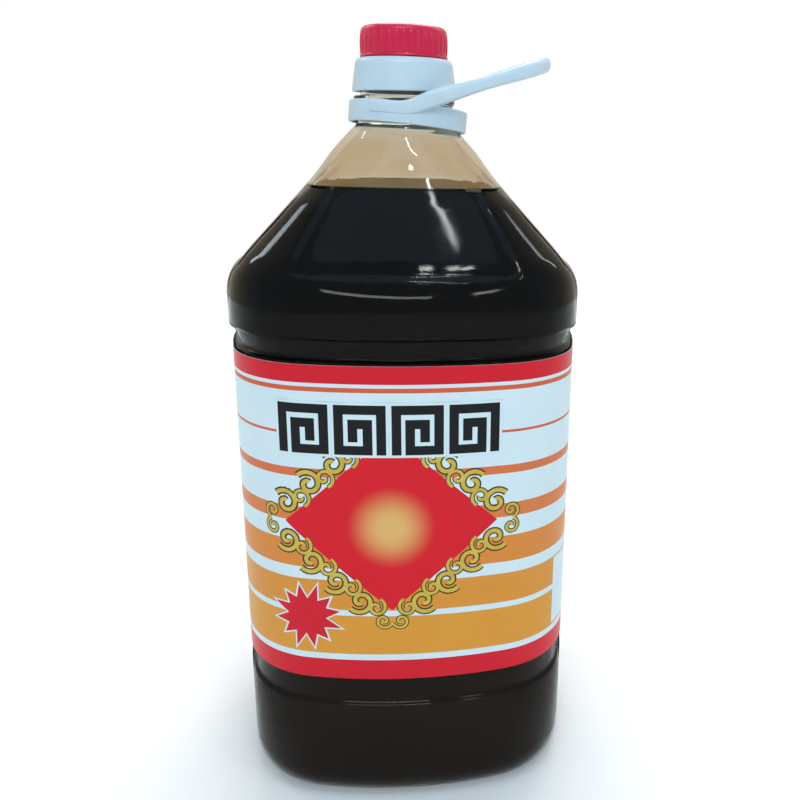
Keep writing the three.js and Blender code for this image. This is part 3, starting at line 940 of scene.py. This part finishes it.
# %% Loop strap
STRAP = (2.1, 2.6)  # half thickness and half depth
THIN, THIN_X = 0.6, (-8, 14)
ROOT_FLARE, ROOT_FROM, ROOT_TO = 0.9, (-6, 12), (13, 34)
BEND_FLARE, BEND_X = 0.5, (36, 54)
SQUARENESS, ROUNDER_X = (0.6, 0.95), (34, 54)


def power_wave(wave, power):
    return np.sign(wave) * np.abs(wave) ** power


along = np.gradient(line, axis=0)
along /= np.linalg.norm(along, axis=1)[:, None]
t = -np.linspace(0, 2 * math.pi, 24, endpoint=False)
rings = []
for centre, way in zip(line, along):
    x = centre[0]
    aside = np.cross(way, (0, 0, 1))
    aside /= np.linalg.norm(aside)
    over = np.cross(aside, way)
    root = 1 - ramp(x, *THIN_X)
    power = mix(*SQUARENESS, ramp(x, *ROUNDER_X))
    flare = ROOT_FLARE * ramp(x, *ROOT_FROM) * (1 - ramp(x, *ROOT_TO))
    flare += BEND_FLARE * ramp(x, *BEND_X)
    wide = STRAP[0] * (1 - THIN * root) * power_wave(np.cos(t), power)
    high = (STRAP[1] + flare) * power_wave(np.sin(t), power)
    rings.append(centre + wide[:, None] * aside + high[:, None] * over)
dress(skin("carry_loop", rings, [WHITE_PP], sharp=60), "handle")

# %% [markdown]
# ## Floor and surround
# A plain pale floor and a pale surround. A dark glossy jug shows what it mirrors, so the
# surround is dimmer for reflections than it looks: bluish in front and warm behind, where it is
# seen through the headspace.

# %% Floor
FLOOR_R, FLOOR_SIDES = 1.3, 96

around = np.linspace(0, 2 * math.pi, FLOOR_SIDES, endpoint=False)
rim = [(FLOOR_R * math.cos(t), FLOOR_R * math.sin(t), 0) for t in around]
floor_mesh = bpy.data.meshes.new("floor")
floor_mesh.from_pydata(rim, [], [tuple(range(FLOOR_SIDES))])
floor_mesh.materials.append(plastic("pale_matt_floor", "#F4F4F3", "#F7F7F6", 20.0, 0.8, 0.01))
floor = stand("floor", floor_mesh)
print("floor, m across:", FLOOR_R * 2)

# %% World
ROOM_FRONT, ROOM_BEHIND = (0.46, 0.61, 0.73, 1.0), (0.69, 0.62, 0.51, 1.0)
BACKGROUND = (1.0, 1.0, 1.0, 1.0)

world = bpy.data.worlds.new("pale_studio")
world.use_nodes = True
bpy.context.scene.world = world
tree = world.node_tree
where = add(tree, "ShaderNodeTexCoord").outputs["Generated"]
depth = add(tree, "ShaderNodeSeparateXYZ", {0: where}).outputs["Y"]
behind = add(tree, "ShaderNodeMapRange", {"Value": depth, 1: -0.1, 2: 0.5},
             interpolation_type="SMOOTHSTEP")
room = add(tree, "ShaderNodeMix", {
    0: behind.outputs[0], 6: ROOM_FRONT, 7: ROOM_BEHIND}, data_type="RGBA")
seen = add(tree, "ShaderNodeLightPath").outputs["Is Camera Ray"]
tone = add(tree, "ShaderNodeMix", {0: seen, 6: room.outputs[2], 7: BACKGROUND}, data_type="RGBA")
tree.links.new(tone.outputs[2], tree.nodes["Background"].inputs["Color"])
print("world nodes:", len(tree.nodes))

# %% [markdown]
# ## Lamps
# Two broad soft lamps light the label and one lights the floor behind. A bluish soft ceiling
# shows the shoulder panels, upright strips behind outline the corners, and a thin tube and small
# spots overhead draw the bright streaks on the shoulder.

# %% Lamps
WHITE, DAYLIGHT, SKYLIGHT = "#FFFFFF", "#E4F2FF", "#B4DAFF"
LAMPS = (  # name, place and target in metres, width and height, watts, colour
    ("soft_front", (-0.25, -1.75, 1.5), (0, 0, 0.15), (1.0, 0.26), 10.5, WHITE),
    ("soft_front_right", (0.75, -1.75, 1.5), (0, 0, 0.15), (0.2, 0.26), 2.6, WHITE),
    ("soft_back", (0.2, 1.5, 2.2), (0, 0.3, 0), (1.6, 1.2), 32, WHITE),
    ("soft_ceiling", (0.0, -0.12, 2.2), (0, -0.12, 0), (1.0, 0.9), 2.2, SKYLIGHT),
    ("window_left", (-1.5, 1.2, 1.6), (0, 0, 0.2), (0.22, 0.9), 6, DAYLIGHT),
    ("window_right", (1.6, 1.1, 1.6), (0, 0, 0.2), (0.12, 0.9), 3, DAYLIGHT),
    ("ceiling_tube", (0.12, -0.205, 1.75), (0.12, -0.205, 0), (0.02, 0.32), 1.3, WHITE),
)
TUBE_RUN = (0.099, -0.120)  # the way that the tube runs, seen from above
SPOTS_X = (0.10, 0.24, 0.31, 0.75)


def lamp(name, place, target, size, watts, colour=WHITE):
    data = bpy.data.lights.new(name, "AREA")
    data.shape = "RECTANGLE"
    data.size, data.size_y = size
    data.energy = watts
    data.color = linear(colour)[:3]
    item = stand(name, data)
    item.location = Vector(place)
    item.rotation_euler = (Vector(target) - Vector(place)).to_track_quat("-Z", "Y").to_euler()
    return item


tube = [lamp(*row) for row in LAMPS][-1]
tube.rotation_euler = (0, 0, math.atan2(TUBE_RUN[1], TUBE_RUN[0]) + math.pi / 2)
for i, x in enumerate(SPOTS_X):
    lamp("ceiling_spot_" + str(i), (x, -0.62, 1.9), (0, 0, 0.2), (0.06, 0.05), 0.5)
bpy.context.scene.view_settings.view_transform = "Standard"
print("lamps:", len(LAMPS) + len(SPOTS_X))
